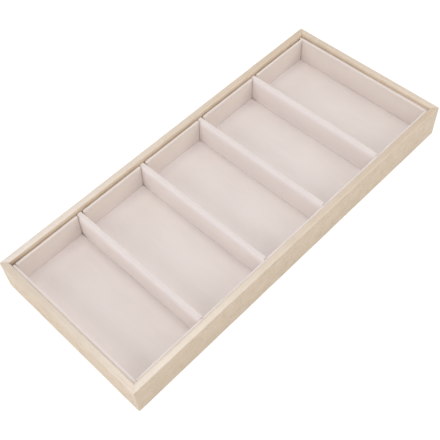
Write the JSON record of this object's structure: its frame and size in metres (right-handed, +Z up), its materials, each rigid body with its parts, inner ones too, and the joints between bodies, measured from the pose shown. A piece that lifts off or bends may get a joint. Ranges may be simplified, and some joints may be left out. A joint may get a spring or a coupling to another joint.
{
  "type": "sunglasses organizer",
  "caption": "Low open rectangular tray with a leatherette frame and velvet-lined compartments side by side, each holding one folded pair of sunglasses.",
  "frame": {"origin": "on the table under the middle of the tray", "axes": "+X along the tray's length, across the compartments; +Y across its width, along each compartment; +Z up"},
  "size_m": [0.39, 0.17, 0.036],
  "materials": {
    "leatherette": "cream, fine grain, satin",
    "velvet": "pale blush, short matt pile",
    "board": "raw fibreboard",
    "card": "raw grey card",
    "lining": "thin felt"
  },
  "bodies": {
    "root": {"frame_board_front": "board", "frame_board_right": "board", "frame_board_back": "board", "frame_board_left": "board", "leather_wrap_front": "leatherette", "leather_wrap_right": "leatherette", "leather_wrap_back": "leatherette", "leather_wrap_left": "leatherette", "base_board": "board", "underside_lining": "lining", "end_panel_board_left": "board", "end_panel_board_right": "board", "end_panel_velvet_left": "velvet", "end_panel_velvet_right": "velvet", "front_panel_board_1": "board", "front_panel_board_2": "board", "front_panel_board_3": "board", "front_panel_board_4": "board", "front_panel_board_5": "board", "front_panel_velvet_1": "velvet", "front_panel_velvet_2": "velvet", "front_panel_velvet_3": "velvet", "front_panel_velvet_4": "velvet", "front_panel_velvet_5": "velvet", "back_panel_board_1": "board", "back_panel_board_2": "board", "back_panel_board_3": "board", "back_panel_board_4": "board", "back_panel_board_5": "board", "back_panel_velvet_1": "velvet", "back_panel_velvet_2": "velvet", "back_panel_velvet_3": "velvet", "back_panel_velvet_4": "velvet", "back_panel_velvet_5": "velvet", "divider_board_1": "board", "divider_board_2": "board", "divider_board_3": "board", "divider_board_4": "board", "divider_velvet_1": "velvet", "divider_velvet_2": "velvet", "divider_velvet_3": "velvet", "divider_velvet_4": "velvet", "floor_pad_board_1": "card", "floor_pad_board_2": "card", "floor_pad_board_3": "card", "floor_pad_board_4": "card", "floor_pad_board_5": "card", "floor_pad_velvet_1": "velvet", "floor_pad_velvet_2": "velvet", "floor_pad_velvet_3": "velvet", "floor_pad_velvet_4": "velvet", "floor_pad_velvet_5": "velvet"}
  },
  "joints": []
}
